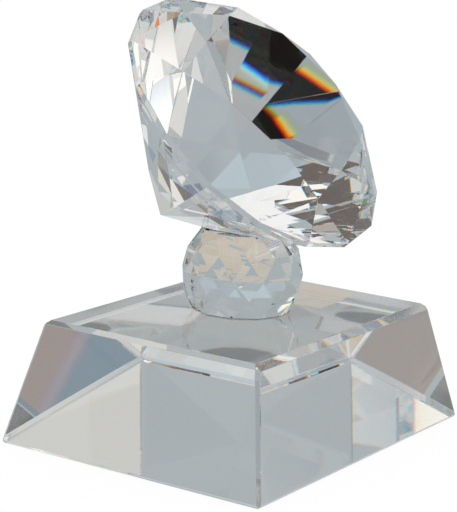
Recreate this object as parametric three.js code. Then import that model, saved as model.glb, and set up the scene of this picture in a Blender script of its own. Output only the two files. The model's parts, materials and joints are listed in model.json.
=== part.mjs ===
// Crystal award: a large round brilliant-cut crystal that stands, tilted, on one of its lower
// facets. It is bonded to a faceted crystal ball, and the ball to a rectangular crystal base.
// Millimetres, +Z up. The origin is the middle of the base's footprint, and the base's long
// front face looks along -Y, the way the crystal's table leans.

import * as THREE from 'three';
import { ConvexGeometry } from 'three/addons/geometries/ConvexGeometry.js';

// Base: a rectangular frustum. Lengths are those of the sharp edges, before the chamfers.
const BASE_HEIGHT = 40;
const BASE_BOTTOM_LENGTH = 125;
const BASE_BOTTOM_WIDTH = 98;
const BASE_TOP_LENGTH = 105;
const BASE_TOP_WIDTH = 80;
const CHAMFER_TOP_LONG = 2.0;
const CHAMFER_TOP_SHORT = 1.3;
const CHAMFER_CORNER = 1.1;
const CHAMFER_BOTTOM = 1.2;

// Ball: rings of vertices on a sphere, each ring half a step round from the next. The highest
// and the lowest ring bound the two polished flats.
const BALL_RADIUS = 20;
const BALL_X = 3.5;
const BALL_Y = 3;
const BALL_SIDES = 12;
const BALL_HEADING = 23;
const BALL_LATITUDES = [47, 25, 3, -19, -35];

// Bonds: thin films of clear adhesive
const BOND_THICKNESS = 0.3;
const BOND_MARGIN = 0.6;
const LAY_GAP = 0.1;

// Diamond: a round brilliant with eight-fold symmetry, measured in its own upright frame
const DIAMOND_RADIUS = 50;
const TABLE_RADIUS = 31.2;
const CROWN_HEIGHT = 13.3;
const GIRDLE_THICKNESS = 1.8;
const PAVILION_DEPTH = 50;
const STAR_RATIO = 0.52;
const LOWER_GIRDLE_RATIO = 0.62;
const DIAMOND_SYMMETRY = 8;
const CULET_X = 0.5;
const CULET_Y = 34.3;

const CRYSTAL = { color: 0xeef3f6, roughness: 0.02, metalness: 0 };
const ADHESIVE = { color: 0xf4f2ea, roughness: 0.08, metalness: 0 };

const SECTOR = (2 * Math.PI) / DIAMOND_SYMMETRY;
const HALF_SECTOR = SECTOR / 2;
const BALL_STEP = (2 * Math.PI) / BALL_SIDES;
const CONTACT_TOLERANCE = 1e-7;
const SAME_CORNER_DISTANCE = 1e-5;
const PARALLEL_DETERMINANT = 1e-9;

function polar(radius, angle, z) {
  return new THREE.Vector3(radius * Math.cos(angle), radius * Math.sin(angle), z);
}

function planeThrough(normal, point) {
  return new THREE.Plane().setFromNormalAndCoplanarPoint(normal.clone().normalize(), point);
}

// The point where three planes meet, or null where two of them are parallel
function meetingPoint(a, b, c) {
  const matrix = new THREE.Matrix3().set(
    a.normal.x, a.normal.y, a.normal.z,
    b.normal.x, b.normal.y, b.normal.z,
    c.normal.x, c.normal.y, c.normal.z,
  );
  if (Math.abs(matrix.determinant()) < PARALLEL_DETERMINANT) return null;
  return new THREE.Vector3(-a.constant, -b.constant, -c.constant).applyMatrix3(matrix.invert());
}

// The corners of the convex solid that lies behind every plane
function cornersBehind(planes) {
  const corners = [];
  for (let i = 0; i < planes.length; i += 1) {
    for (let j = i + 1; j < planes.length; j += 1) {
      for (let k = j + 1; k < planes.length; k += 1) {
        const point = meetingPoint(planes[i], planes[j], planes[k]);
        const inside = point && planes.every((p) => p.distanceToPoint(point) < CONTACT_TOLERANCE);
        const isNew = inside && corners.every((c) => c.distanceTo(point) > SAME_CORNER_DISTANCE);
        if (isNew) corners.push(point);
      }
    }
  }
  return corners;
}

// The plane that cuts the edge of two faces so that each face loses a strip of the given width
function chamferPlane(faceA, faceB, edgePoint, strip) {
  const normal = faceA.normal.clone().add(faceB.normal).normalize();
  const halfAngleSine = normal.clone().cross(faceA.normal).length();
  const point = edgePoint.clone().addScaledVector(normal, -strip * halfAngleSine);
  return planeThrough(normal, point);
}

// A sloping side of the base: its outward direction in plan and its reach at bottom and top
function baseSide(direction, bottomReach, topReach) {
  const slope = (bottomReach - topReach) / BASE_HEIGHT;
  const normal = new THREE.Vector3(direction.x, direction.y, slope);
  return {
    face: planeThrough(normal, direction.clone().multiplyScalar(bottomReach)),
    bottomEdge: direction.clone().multiplyScalar(bottomReach),
    topEdge: direction.clone().multiplyScalar(topReach).setZ(BASE_HEIGHT),
  };
}

function makeBase() {
  const top = new THREE.Plane(new THREE.Vector3(0, 0, 1), -BASE_HEIGHT);
  const bottom = new THREE.Plane(new THREE.Vector3(0, 0, -1), 0);
  const planes = [top, bottom];
  const ends = [];
  const fronts = [];
  for (const sign of [-1, 1]) {
    const alongX = new THREE.Vector3(sign, 0, 0);
    const alongY = new THREE.Vector3(0, sign, 0);
    const end = baseSide(alongX, BASE_BOTTOM_LENGTH / 2, BASE_TOP_LENGTH / 2);
    const front = baseSide(alongY, BASE_BOTTOM_WIDTH / 2, BASE_TOP_WIDTH / 2);
    planes.push(chamferPlane(top, end.face, end.topEdge, CHAMFER_TOP_SHORT));
    planes.push(chamferPlane(top, front.face, front.topEdge, CHAMFER_TOP_LONG));
    ends.push(end);
    fronts.push(front);
  }
  for (const side of [...ends, ...fronts]) {
    planes.push(side.face);
    planes.push(chamferPlane(bottom, side.face, side.bottomEdge, CHAMFER_BOTTOM));
  }
  for (const end of ends) {
    for (const front of fronts) {
      const cornerPoint = end.bottomEdge.clone().add(front.bottomEdge);
      planes.push(chamferPlane(end.face, front.face, cornerPoint, CHAMFER_CORNER));
    }
  }
  return new ConvexGeometry(cornersBehind(planes));
}

// One ring of the ball's vertices, about the ball's own centre
function ballRing(index) {
  const latitude = THREE.MathUtils.degToRad(BALL_LATITUDES[index]);
  const stagger = index % 2 === 0 ? 0 : BALL_STEP / 2;
  const start = THREE.MathUtils.degToRad(BALL_HEADING) + stagger;
  const points = [];
  for (let side = 0; side < BALL_SIDES; side += 1) {
    const angle = start + side * BALL_STEP;
    points.push(polar(BALL_RADIUS * Math.cos(latitude), angle, BALL_RADIUS * Math.sin(latitude)));
  }
  return points;
}

function makeBall() {
  return new ConvexGeometry(BALL_LATITUDES.flatMap((latitude, index) => ballRing(index)));
}

// The upright planes that bound a ring of the ball in plan, moved in by a margin
function ringWalls(index, margin) {
  const ring = ballRing(index);
  return ring.map((point, side) => {
    const middle = point.clone().add(ring[(side + 1) % BALL_SIDES]).multiplyScalar(0.5).setZ(0);
    const normal = middle.clone().normalize();
    return planeThrough(normal, middle.addScaledVector(normal, -margin));
  });
}

function levelSlab(bottomZ, topZ) {
  return [
    new THREE.Plane(new THREE.Vector3(0, 0, 1), -topZ),
    new THREE.Plane(new THREE.Vector3(0, 0, -1), bottomZ),
  ];
}

function makeBaseBond() {
  const lowestRing = BALL_LATITUDES.length - 1;
  const walls = ringWalls(lowestRing, BOND_MARGIN);
  return new ConvexGeometry(cornersBehind([...walls, ...levelSlab(0, BOND_THICKNESS)]));
}

// Height of a crown main facet's plane above the girdle, and of a pavilion main facet's plane
// below it, at a radius half a sector away from the facet's middle
function crownMainHeight(radius) {
  const reach = DIAMOND_RADIUS - radius * Math.cos(HALF_SECTOR);
  return (CROWN_HEIGHT * reach) / (DIAMOND_RADIUS - TABLE_RADIUS);
}

function pavilionMainDepth(radius) {
  return (PAVILION_DEPTH * (DIAMOND_RADIUS - radius * Math.cos(HALF_SECTOR))) / DIAMOND_RADIUS;
}

const starInnerRadius = TABLE_RADIUS * Math.cos(HALF_SECTOR);
const starTipRadius = starInnerRadius + STAR_RATIO * (DIAMOND_RADIUS - starInnerRadius);
const lowerNodeRadius = (1 - LOWER_GIRDLE_RATIO) * DIAMOND_RADIUS;

// Corners of the brilliant with its culet at the origin and its table facing +Z
function brilliantCorners() {
  const girdleBottom = PAVILION_DEPTH;
  const girdleTop = girdleBottom + GIRDLE_THICKNESS;
  const corners = [new THREE.Vector3(0, 0, 0)];
  for (let sector = 0; sector < DIAMOND_SYMMETRY; sector += 1) {
    const main = sector * SECTOR;
    const between = main + HALF_SECTOR;
    corners.push(polar(TABLE_RADIUS, main, girdleTop + CROWN_HEIGHT));
    corners.push(polar(starTipRadius, between, girdleTop + crownMainHeight(starTipRadius)));
    corners.push(polar(lowerNodeRadius, between, girdleBottom - pavilionMainDepth(lowerNodeRadius)));
    for (const angle of [main, between]) {
      corners.push(polar(DIAMOND_RADIUS, angle, girdleTop));
      corners.push(polar(DIAMOND_RADIUS, angle, girdleBottom));
    }
  }
  return corners;
}

// A pavilion main facet makes this angle with the girdle plane, so the same tilt lays it level
const restingTilt = Math.atan(PAVILION_DEPTH / DIAMOND_RADIUS);

// Turns the upright brilliant so that its axis leans towards -Y and one main facet is level
function leanTransform() {
  const turnToFront = new THREE.Matrix4().makeRotationZ(-Math.PI / 2);
  const lean = new THREE.Matrix4().makeRotationX(restingTilt);
  return lean.multiply(turnToFront);
}

function makeDiamond() {
  const transform = leanTransform();
  return new ConvexGeometry(brilliantCorners().map((corner) => corner.applyMatrix4(transform)));
}

// The walls of the resting facet's kite in plan, about the culet, moved in by a margin. The
// facet runs from the culet along -Y to the girdle and is widest at its two lower nodes.
function kiteWalls(margin) {
  const facetScale = 1 / Math.cos(restingTilt);
  const halfWidth = lowerNodeRadius * Math.sin(HALF_SECTOR);
  const nodeY = -lowerNodeRadius * Math.cos(HALF_SECTOR) * facetScale;
  const tipY = -DIAMOND_RADIUS * facetScale;
  const walls = [];
  for (const side of [-1, 1]) {
    const node = new THREE.Vector3(side * halfWidth, nodeY, 0);
    for (const endY of [0, tipY]) {
      const along = new THREE.Vector3(0, endY, 0).sub(node);
      const normal = new THREE.Vector3(along.y, -along.x, 0).normalize();
      if (normal.x * side < 0) normal.negate();
      walls.push(planeThrough(normal, node.clone().addScaledVector(normal, -margin)));
    }
  }
  return walls;
}

// The film lies where the ball's upper flat and the crystal's resting facet overlap
function makeDiamondBond() {
  const toBall = new THREE.Vector3(CULET_X - BALL_X, CULET_Y - BALL_Y, 0);
  const facet = kiteWalls(BOND_MARGIN).map((wall) => wall.translate(toBall));
  const flat = ringWalls(0, BOND_MARGIN);
  return new ConvexGeometry(cornersBehind([...facet, ...flat, ...levelSlab(0, BOND_THICKNESS)]));
}

const ballFlatRise = (latitude) => BALL_RADIUS * Math.sin(THREE.MathUtils.degToRad(latitude));
const ballCentreZ = BASE_HEIGHT + BOND_THICKNESS - ballFlatRise(BALL_LATITUDES.at(-1));
const ballTopZ = ballCentreZ + ballFlatRise(BALL_LATITUDES[0]);
const culetZ = ballTopZ + BOND_THICKNESS + LAY_GAP;

const group = new THREE.Group();

function addPiece(name, geometry, look, x, y, z) {
  const mesh = new THREE.Mesh(geometry, new THREE.MeshStandardMaterial(look));
  mesh.name = name;
  mesh.position.set(x, y, z);
  group.add(mesh);
}

addPiece('base', makeBase(), CRYSTAL, 0, 0, 0);
addPiece('base_bond', makeBaseBond(), ADHESIVE, BALL_X, BALL_Y, BASE_HEIGHT);
addPiece('ball', makeBall(), CRYSTAL, BALL_X, BALL_Y, ballCentreZ);
addPiece('diamond_bond', makeDiamondBond(), ADHESIVE, BALL_X, BALL_Y, ballTopZ);
addPiece('diamond', makeDiamond(), CRYSTAL, CULET_X, CULET_Y, culetZ);

export default group;
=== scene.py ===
"""Crystal award on a pale floor: a tilted round brilliant on a faceted ball and a sloping plinth.

Metres, +Z up, in the CAD model's frame: the plinth's long front side faces -Y. The solids are the
CAD nodes themselves. This script welds and finely bevels them and gives them crystal and adhesive
materials. The camera sees the award on a plain white floor. Rays that pass through the crystal or
are mirrored by it see a studio instead: a room with lights and dark flags, a table top, and a
ground with cards far below it.
"""

import json
import math

import bpy
from mathutils import Matrix, Vector

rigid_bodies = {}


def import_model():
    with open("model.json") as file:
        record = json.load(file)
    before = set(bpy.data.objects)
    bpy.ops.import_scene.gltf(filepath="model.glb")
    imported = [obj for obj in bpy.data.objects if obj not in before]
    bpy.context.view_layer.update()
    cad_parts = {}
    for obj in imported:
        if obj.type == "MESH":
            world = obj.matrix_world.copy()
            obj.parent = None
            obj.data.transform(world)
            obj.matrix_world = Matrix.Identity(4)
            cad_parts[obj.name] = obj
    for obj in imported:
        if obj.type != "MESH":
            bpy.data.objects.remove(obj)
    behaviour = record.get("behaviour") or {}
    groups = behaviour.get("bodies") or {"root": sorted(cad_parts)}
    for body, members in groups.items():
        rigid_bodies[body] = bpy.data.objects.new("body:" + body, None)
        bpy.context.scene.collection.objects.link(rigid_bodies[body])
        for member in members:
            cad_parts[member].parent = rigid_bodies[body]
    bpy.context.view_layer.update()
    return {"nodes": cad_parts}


for leftover in list(bpy.data.objects):
    bpy.data.objects.remove(leftover)
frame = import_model()
nodes = frame["nodes"]

MM = 0.001

# Camera: its direction from the middle of the award's foot, in degrees, with the azimuth from -Y
# towards +X. Its distance in metres, how far it is turned from looking straight at that point,
# and its lens in millimetres.
CAMERA_AZIMUTH = -57.34
CAMERA_ELEVATION = 17.255
CAMERA_DISTANCE = 0.6598
CAMERA_YAW = 0.472
CAMERA_PITCH = 4.936
CAMERA_ROLL = 2.665
CAMERA_LENS = 140.5

# Crystal pieces: refractive index, seed of the surface pattern, and width of the broken edges
CRYSTALS = {
    "base": {"index": 1.52, "seed": 1.0, "edge_break": 0.12 * MM},
    "ball": {"index": 1.52, "seed": 2.0, "edge_break": 0.06 * MM},
    "diamond": {"index": 1.55, "seed": 4.0, "edge_break": 0.08 * MM},
}
WELD_DISTANCE = 0.001 * MM
EDGE_SEGMENTS = 2
COPLANAR_ANGLE = math.radians(1.5)

# Dispersion: the spread of the index from red to violet, and the colours on the way, whose
# average is white
DISPERSION = 0.014
SPECTRUM = [(2.4, 0, 0), (2.4, 0.9, 0), (1.2, 2.1, 0), (0, 2.1, 1.2), (0, 0.9, 2.4), (0, 0, 2.4)]

# Adhesive films
BONDS = ("base_bond", "diamond_bond")
ADHESIVE_INDEX = 1.5
ADHESIVE_COLOUR = (0.99, 0.99, 0.97)
ADHESIVE_SEED = 3.0

# Polish: faint smudges where the noise is high, and a trace of waviness
SMUDGE_SCALE = 26.0
ADHESIVE_SMUDGE_SCALE = 60.0
SMUDGE_DETAIL = 6.0
SMUDGE_START = 0.62
SMUDGE_FULL = 0.8
SMUDGE_ROUGHNESS = 0.035
WAVE_SCALE = 90.0
WAVE_DETAIL = 2.0
WAVE_SEED_STEP = 5
WAVE_STRENGTH = 0.02
WAVE_DEPTH = 0.1 * MM

# The floor that the camera sees: mostly its own even light, so that it stays white, with a
# little of the award's shadow
FLOOR_COLOUR = (0.80, 0.80, 0.79)
FLOOR_GLOW = 0.85
FLOOR_LIGHT = 1.1

# Room round the award, in linear light. A panel's azimuth is measured from +X towards +Y, and
# azimuth, elevation, width, height and blur are in degrees. Later panels lie over earlier ones.
ROOM_COLOUR = (0.40, 0.445, 0.46)
PANEL_BLUR = 2.0
PANELS = [
    # ceiling, and the pale side of the room at the front right
    dict(azimuth=0, elevation=90, width=720, height=68, colour=(0.92, 0.92, 0.90)),
    dict(azimuth=-57, elevation=20, width=46, height=90, colour=(0.62, 0.62, 0.59), blur=5),
    # behind the award, seen through it: bluish strip, grey wall, small light
    dict(azimuth=43, elevation=0, width=30, height=8, colour=(0.48, 0.57, 0.62), blur=4),
    dict(azimuth=66, elevation=9, width=16, height=22, colour=(0.36, 0.40, 0.42), blur=3),
    dict(azimuth=79, elevation=14, width=8, height=14, colour=(1.1, 1.08, 1.0)),
    # pale back left wall, with a shaded part
    dict(azimuth=136, elevation=33, width=26, height=22, colour=(0.62, 0.63, 0.61), blur=3),
    dict(azimuth=136, elevation=39, width=9, height=8, colour=(0.32, 0.285, 0.265)),
    # brown and blue strips side by side, which colour the base's slopes
    dict(azimuth=-27.6, elevation=21, width=7, height=30, colour=(0.32, 0.272, 0.252), blur=0.3),
    dict(azimuth=-21.1, elevation=21, width=6, height=30, colour=(0.207, 0.272, 0.32), blur=0.3),
    # dark flag that the diamond's table mirrors
    dict(azimuth=-8.7, elevation=31.5, width=7, height=7, colour=(0.03, 0.03, 0.03)),
    # lights in front
    dict(azimuth=-98, elevation=-3, width=15, height=24, colour=(1.05, 1.05, 1.04)),
    dict(azimuth=-103, elevation=45, width=12, height=16, colour=(0.9, 0.88, 0.85)),
    # dark flags round the camera, and small lights and glints in them
    dict(azimuth=-162, elevation=35, width=72, height=34, colour=(0.10, 0.072, 0.062)),
    dict(azimuth=-119, elevation=34, width=12, height=16, colour=(0.12, 0.09, 0.08)),
    dict(azimuth=-144, elevation=48, width=7, height=7, colour=(1.0, 0.98, 0.92), blur=1),
    dict(azimuth=-124, elevation=41, width=5, height=7, colour=(1.1, 1.08, 1.0), blur=1),
    dict(azimuth=-165, elevation=43, width=6, height=5, colour=(0.40, 0.36, 0.32), blur=1),
    dict(azimuth=-173, elevation=34, width=5, height=4, colour=(0.12, 0.24, 0.09), blur=1),
]

# What the crystal shows below it, in millimetres: the pale table top that the award stands on,
# the shade under its foot, and a patch of painted warm light beside it, each a little above the one
# before
TABLE_CORNERS = [(-78, -64), (78, -64), (78, 78), (-78, 78)]
TABLE_HEIGHT = -0.1
TABLE_COLOUR = (0.92, 0.93, 0.90)
SHADE_CORNERS = [(-61, -47.5), (61, -47.5), (61, 47.5), (-61, 47.5)]
SHADE_HEIGHT = -0.05
SHADE_COLOUR = (0.36, 0.375, 0.37)
# the patch of painted warm light: a glowing sheet, lighter than the shade it lies on
WARM_LIGHT_CORNERS = [(50, 0), (63, 0), (63, 49), (50, 49)]
WARM_LIGHT_HEIGHT = -0.04
WARM_LIGHT_COLOUR = (0.60, 0.53, 0.43)
TABLE_GLOSS = 0.5
TABLE_GLOSS_COLOUR = (0.95, 0.95, 0.95)
TABLE_GLOSS_ROUGHNESS = 0.2

# The ground far below the table. Its colour changes with the distance from the award, in metres,
# and with how far the place lies towards the front, as a cosine. Each pair of numbers is where a
# change starts and ends.
WIDE_CORNERS = [(-9000, -9000), (9000, -9000), (9000, 9000), (-9000, 9000)]
GROUND_HEIGHT = -200
GROUND_NEAR = (0.46, 0.465, 0.46)
GROUND_FAR = (0.37, 0.42, 0.445)
NEAR_TO_FAR = (0.36, 0.62)
GROUND_HORIZON = (0.44, 0.51, 0.55)
FAR_TO_HORIZON = (1.5, 5.0)
GROUND_SIDE = (0.66, 0.66, 0.63)
BACK_TO_SIDE = (0.1, 0.6)
GROUND_FRONT = (1.0, 0.99, 0.95)
SIDE_TO_FRONT = (0.982, 0.993)
FRONT_DIRECTION = (-0.139, -0.990, 0)

# Cards that lie just above that ground, each a colour and an outline in millimetres
CARD_HEIGHT = GROUND_HEIGHT + 0.5
BLACK = (0.006, 0.005, 0.004)
ORANGE_EDGE = (0.82, 0.55, 0.28)
BLUE_EDGE = (0.48, 0.66, 0.80)
DARK_BROWN = (0.05, 0.04, 0.035)
ORANGE = (0.85, 0.22, 0.04)
BROWN = (0.36, 0.22, 0.13)
CARDS = [
    # the two black cards behind the award, which make the black patches in the diamond's table
    (BLACK, [
        (290, 262), (340, 262), (335, 445), (313, 455), (313, 498), (293, 524), (303, 557), (308, 582),
        (250, 582), (255, 400), (268, 352), (281, 332), (281, 300)]),
    (BLACK, [(308, 576), (326, 567), (346, 554), (364, 556), (364, 604), (308, 604)]),
    # coloured strips along their edges, and a dark strip beside them
    (ORANGE_EDGE, [(313, 455), (320, 453), (320, 500), (313, 498)]),
    (ORANGE_EDGE, [(293, 524), (299, 520), (309, 556), (303, 557)]),
    (BLUE_EDGE, [(281, 332), (275, 331), (275, 300), (281, 300)]),
    (DARK_BROWN, [(261, 322), (266, 323), (271, 300), (266, 299)]),
    # dark cards to the left of the award
    (DARK_BROWN, [(-160, -150), (-160, -10), (-420, 10), (-420, -200)]),
    (DARK_BROWN, [(-210, 90), (-290, 90), (-290, 170), (-210, 170)]),
    # far cards in front, which make the orange and brown facets at the diamond's top
    (ORANGE, [(-541, -1217), (-643, -1162), (-816, -1456), (-688, -1525)]),
    (BROWN, [(-680, -1073), (-820, -964), (-1212, -1399), (-1008, -1559)]),
]


# ---------------------------------------------------------------- node helpers

def new_material(name):
    """A material with an empty node tree."""
    material = bpy.data.materials.new(name)
    material.use_nodes = True
    material.node_tree.nodes.clear()
    return material, material.node_tree


def add_node(tree, kind, **values):
    """A shader node with its properties (lower case) and input values (capitalised) set."""
    node = tree.nodes.new(kind)
    for key, value in values.items():
        if key[0].isupper():
            node.inputs[key.replace("_", " ")].default_value = value
        else:
            setattr(node, key, value)
    return node


def math_node(tree, operation, *values):
    """A Math node's result, from plain numbers and sockets."""
    node = add_node(tree, "ShaderNodeMath", operation=operation)
    for socket, value in zip(node.inputs, values):
        if isinstance(value, (int, float)):
            socket.default_value = value
        else:
            tree.links.new(value, socket)
    return node.outputs[0]


def mix_colours(tree, mask, low, high):
    """low where the mask is 0 and high where it is 1; each a colour or a colour socket."""
    mix = add_node(tree, "ShaderNodeMix", data_type="RGBA")
    tree.links.new(mask, mix.inputs["Factor"])
    for name, colour in (("A_Color", low), ("B_Color", high)):
        socket = next(one for one in mix.inputs if one.identifier == name)
        if isinstance(colour, tuple):
            socket.default_value = (*colour, 1)
        else:
            tree.links.new(colour, socket)
    return next(one for one in mix.outputs if one.identifier == "Result_Color")


def mix_shaders(tree, share, first, second):
    """A blend of two shaders. share is how much of the second, as a number or a socket."""
    mix = add_node(tree, "ShaderNodeMixShader")
    if isinstance(share, (int, float)):
        mix.inputs[0].default_value = share
    else:
        tree.links.new(share, mix.inputs[0])
    tree.links.new(first, mix.inputs[1])
    tree.links.new(second, mix.inputs[2])
    return mix.outputs[0]


def soft_step(tree, value, low, high):
    """0 below low and 1 above high, with a smooth rise between."""
    step = add_node(tree, "ShaderNodeMapRange", interpolation_type="SMOOTHSTEP")
    tree.links.new(value, step.inputs["Value"])
    step.inputs["From Min"].default_value = low
    step.inputs["From Max"].default_value = high
    return step.outputs["Result"]


def set_surface(tree, shader, output_kind="ShaderNodeOutputMaterial"):
    """Makes this shader the one that the material or world shows."""
    output = add_node(tree, output_kind)
    tree.links.new(shader, output.inputs["Surface"])


# ---------------------------------------------------------------- crystal

def glass_at(tree, colour, index, normal, roughness):
    """A Glass shader with this colour and refractive index, and the surface's own polish."""
    glass = add_node(tree, "ShaderNodeBsdfGlass", Color=(*colour, 1), IOR=index)
    tree.links.new(normal, glass.inputs["Normal"])
    tree.links.new(roughness, glass.inputs["Roughness"])
    return glass.outputs["BSDF"]


def noise(tree, place, seed, scale, detail):
    """Solid noise in the piece's own coordinates."""
    pattern = add_node(
        tree, "ShaderNodeTexNoise", noise_dimensions="4D", W=seed, Scale=scale, Detail=detail)
    tree.links.new(place, pattern.inputs["Vector"])
    return pattern.outputs["Fac"]


def polish(tree, seed, smudge_scale):
    """The surface's roughness and normal: near-perfect polish, faint smudges, a trace of waviness."""
    place = add_node(tree, "ShaderNodeTexCoord").outputs["Object"]
    smudges = noise(tree, place, seed, smudge_scale, SMUDGE_DETAIL)
    roughness = add_node(
        tree, "ShaderNodeMapRange",
        From_Min=SMUDGE_START, From_Max=SMUDGE_FULL, To_Min=0.0, To_Max=SMUDGE_ROUGHNESS)
    tree.links.new(smudges, roughness.inputs["Value"])
    waves = noise(tree, place, seed + WAVE_SEED_STEP, WAVE_SCALE, WAVE_DETAIL)
    bump = add_node(tree, "ShaderNodeBump", Strength=WAVE_STRENGTH, Distance=WAVE_DEPTH)
    tree.links.new(waves, bump.inputs["Height"])
    return roughness.outputs["Result"], bump.outputs["Normal"]


def crystal(name, index, seed):
    """Clear crystal that spreads colours where the eye's rays enter it, and is neutral inside."""
    material, tree = new_material(name)
    roughness, normal = polish(tree, seed, SMUDGE_SCALE)
    spread = None
    for number, colour in enumerate(SPECTRUM):
        place = number / (len(SPECTRUM) - 1)
        bent = index + DISPERSION * (place - 0.5)
        glass = glass_at(tree, colour, bent, normal, roughness)
        if spread is None:
            spread = glass
        else:
            spread = mix_shaders(tree, 1 / (number + 1), spread, glass)
    neutral = glass_at(tree, (1, 1, 1), index, normal, roughness)
    path = add_node(tree, "ShaderNodeLightPath")
    first_hit = math_node(tree, "GREATER_THAN", path.outputs["Is Camera Ray"], 0.5)
    set_surface(tree, mix_shaders(tree, first_hit, neutral, spread))
    return material


def adhesive(name):
    """A clear cured film."""
    material, tree = new_material(name)
    roughness, normal = polish(tree, ADHESIVE_SEED, ADHESIVE_SMUDGE_SCALE)
    set_surface(tree, glass_at(tree, ADHESIVE_COLOUR, ADHESIVE_INDEX, normal, roughness))
    return material


def give_material(node, material):
    """Puts one material on a CAD node in place of its plain colour."""
    node.data.materials.clear()
    node.data.materials.append(material)


def break_edges(node, width):
    """Welds the CAD solid's facets together and bevels the edges between them."""
    weld = node.modifiers.new("weld", "WELD")
    weld.merge_threshold = WELD_DISTANCE
    bevel = node.modifiers.new("edge_break", "BEVEL")
    bevel.width = width
    bevel.segments = EDGE_SEGMENTS
    bevel.limit_method = "ANGLE"
    bevel.angle_limit = COPLANAR_ANGLE


def make_award():
    """Turns the CAD nodes into crystal pieces with broken edges, and films of adhesive."""
    for name, piece in CRYSTALS.items():
        give_material(nodes[name], crystal(f"{name}_crystal", piece["index"], piece["seed"]))
        break_edges(nodes[name], piece["edge_break"])
    for name in BONDS:
        give_material(nodes[name], adhesive(name))


# ---------------------------------------------------------------- studio

def panel_mask(tree, direction, panel):
    """1 inside a rectangle of the studio's sky, seen from the award, and 0 outside it."""
    middle = math.radians(panel["azimuth"])
    turned = add_node(tree, "ShaderNodeVectorRotate", rotation_type="Z_AXIS", Angle=-middle)
    tree.links.new(direction, turned.inputs["Vector"])
    parts = add_node(tree, "ShaderNodeSeparateXYZ")
    tree.links.new(turned.outputs[0], parts.inputs[0])
    x, y, z = parts.outputs
    across = math_node(tree, "ABSOLUTE", math_node(tree, "ARCTAN2", y, x))
    height = math_node(tree, "ARCSINE", z)
    above = math_node(tree, "SUBTRACT", height, math.radians(panel["elevation"]))
    away = math_node(tree, "ABSOLUTE", above)
    mask = None
    for distance, size in ((across, panel["width"]), (away, panel["height"])):
        edge = math.radians(size / 2)
        blur = math.radians(panel.get("blur", PANEL_BLUR))
        outside = soft_step(tree, distance, edge - blur / 2, edge + blur / 2)
        inside = math_node(tree, "SUBTRACT", 1.0, outside)
        mask = inside if mask is None else math_node(tree, "MULTIPLY", mask, inside)
    return mask


def make_world():
    """A grey-blue room with soft boxes and dark flags. The camera itself sees plain white."""
    world = bpy.data.worlds.new("studio")
    world.use_nodes = True
    bpy.context.scene.world = world
    tree = world.node_tree
    tree.nodes.clear()
    direction = add_node(tree, "ShaderNodeTexCoord").outputs["Generated"]
    colour = ROOM_COLOUR
    for panel in PANELS:
        mask = panel_mask(tree, direction, panel)
        colour = mix_colours(tree, mask, colour, panel["colour"])
    room = add_node(tree, "ShaderNodeBackground", Strength=1.0)
    tree.links.new(colour, room.inputs["Color"])
    white = add_node(tree, "ShaderNodeBackground", Color=(1, 1, 1, 1), Strength=1.0)
    camera_ray = add_node(tree, "ShaderNodeLightPath").outputs["Is Camera Ray"]
    seen = mix_shaders(tree, camera_ray, room.outputs[0], white.outputs[0])
    set_surface(tree, seen, "ShaderNodeOutputWorld")


def flat_shape(name, corners, height, material, seen_in_crystal):
    """A level sheet of the stage. The camera sees some sheets, the crystal the others."""
    mesh = bpy.data.meshes.new(name)
    points = [(x * MM, y * MM, height * MM) for x, y in corners]
    face = tuple(range(len(points)))
    mesh.from_pydata(points, [], [face])
    mesh.materials.append(material)
    sheet = bpy.data.objects.new(name, mesh)
    bpy.context.scene.collection.objects.link(sheet)
    sheet.visible_camera = not seen_in_crystal
    sheet.visible_diffuse = not seen_in_crystal
    sheet.visible_shadow = not seen_in_crystal
    sheet.visible_glossy = seen_in_crystal
    sheet.visible_transmission = seen_in_crystal


def glow(tree, colour, strength=1.0):
    """A shader of even light."""
    return add_node(tree, "ShaderNodeEmission", Color=(*colour, 1), Strength=strength).outputs[0]


def glow_material(name, colour):
    """An evenly lit card."""
    material, tree = new_material(name)
    set_surface(tree, glow(tree, colour))
    return material


def floor_material():
    """A white floor, lit evenly, with a trace of the award's shadow."""
    material, tree = new_material("floor")
    pale = add_node(tree, "ShaderNodeBsdfDiffuse", Color=(*FLOOR_COLOUR, 1))
    light = glow(tree, (1, 1, 1), FLOOR_LIGHT)
    set_surface(tree, mix_shaders(tree, FLOOR_GLOW, pale.outputs[0], light))
    return material


def table_material(name, colour):
    """Pale and softly glossy, so that it also mirrors the room into the crystal."""
    material, tree = new_material(name)
    gloss = add_node(
        tree, "ShaderNodeBsdfGlossy",
        Color=(*TABLE_GLOSS_COLOUR, 1), Roughness=TABLE_GLOSS_ROUGHNESS)
    set_surface(tree, mix_shaders(tree, TABLE_GLOSS, glow(tree, colour), gloss.outputs[0]))
    return material


def ground_material():
    """White in front, pale at the sides, and grey-blue behind, where it is paler near and far."""
    material, tree = new_material("ground")
    place = add_node(tree, "ShaderNodeTexCoord").outputs["Object"]
    radius = add_node(tree, "ShaderNodeVectorMath", operation="LENGTH")
    tree.links.new(place, radius.inputs[0])
    aim = add_node(tree, "ShaderNodeVectorMath", operation="DOT_PRODUCT")
    tree.links.new(place, aim.inputs[0])
    aim.inputs[1].default_value = FRONT_DIRECTION
    front = math_node(tree, "DIVIDE", aim.outputs["Value"], radius.outputs["Value"])
    colour = GROUND_NEAR
    for value, change, next_colour in (
        (radius.outputs["Value"], NEAR_TO_FAR, GROUND_FAR),
        (radius.outputs["Value"], FAR_TO_HORIZON, GROUND_HORIZON),
        (front, BACK_TO_SIDE, GROUND_SIDE),
        (front, SIDE_TO_FRONT, GROUND_FRONT),
    ):
        colour = mix_colours(tree, soft_step(tree, value, *change), colour, next_colour)
    shader = add_node(tree, "ShaderNodeEmission", Strength=1.0)
    tree.links.new(colour, shader.inputs["Color"])
    set_surface(tree, shader.outputs[0])
    return material


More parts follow.
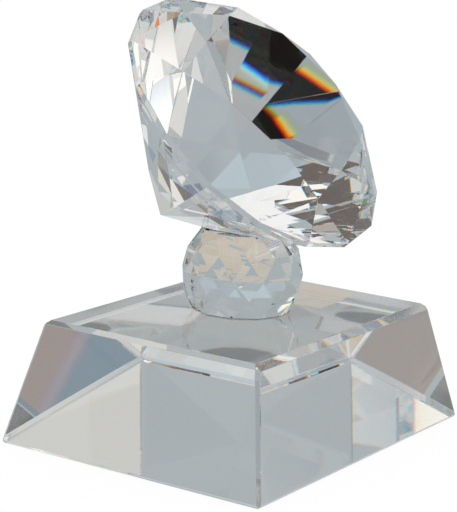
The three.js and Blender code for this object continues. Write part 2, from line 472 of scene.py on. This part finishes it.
def make_floor():
    """A white floor for the camera; a table top, ground and cards for the rays inside the crystal."""
    flat_shape("floor", WIDE_CORNERS, TABLE_HEIGHT, floor_material(), False)
    table_top = table_material("table_top", TABLE_COLOUR)
    flat_shape("table_top", TABLE_CORNERS, TABLE_HEIGHT, table_top, True)
    flat_shape("shade", SHADE_CORNERS, SHADE_HEIGHT, table_material("shade", SHADE_COLOUR), True)
    # the patch of painted warm light glows evenly on top of the shade
    flat_shape("painted_warm_light", WARM_LIGHT_CORNERS, WARM_LIGHT_HEIGHT, glow_material("painted_warm_light", WARM_LIGHT_COLOUR), True)
    flat_shape("ground", WIDE_CORNERS, GROUND_HEIGHT, ground_material(), True)
    for number, (colour, corners) in enumerate(CARDS):
        card = glow_material(f"card_{number}", colour)
        flat_shape(f"card_{number}", corners, CARD_HEIGHT, card, True)


def make_camera():
    """A camera at the photograph's viewing angle."""
    azimuth = math.radians(CAMERA_AZIMUTH)
    elevation = math.radians(CAMERA_ELEVATION)
    back = Vector((
        math.sin(azimuth) * math.cos(elevation),
        -math.cos(azimuth) * math.cos(elevation),
        math.sin(elevation),
    ))
    data = bpy.data.cameras.new("camera")
    data.lens = CAMERA_LENS
    camera = bpy.data.objects.new("camera", data)
    bpy.context.scene.collection.objects.link(camera)
    facing = back.to_track_quat("Z", "Y").to_matrix()
    yaw = Matrix.Rotation(math.radians(CAMERA_YAW), 3, "Y")
    pitch = Matrix.Rotation(math.radians(CAMERA_PITCH), 3, "X")
    roll = Matrix.Rotation(math.radians(CAMERA_ROLL), 3, "Z")
    camera.matrix_world = (facing @ yaw @ pitch @ roll).to_4x4()
    camera.location = back * CAMERA_DISTANCE
    bpy.context.scene.camera = camera


def set_light_paths():
    """Enough bounces for light to leave the crystal, and plain tones so that white stays white."""
    scene = bpy.context.scene
    scene.cycles.max_bounces = 40
    scene.cycles.transmission_bounces = 40
    scene.cycles.glossy_bounces = 24
    scene.cycles.diffuse_bounces = 3
    scene.cycles.use_denoising = True
    scene.view_settings.view_transform = "Standard"


make_camera()
make_world()
make_floor()
set_light_paths()
make_award()
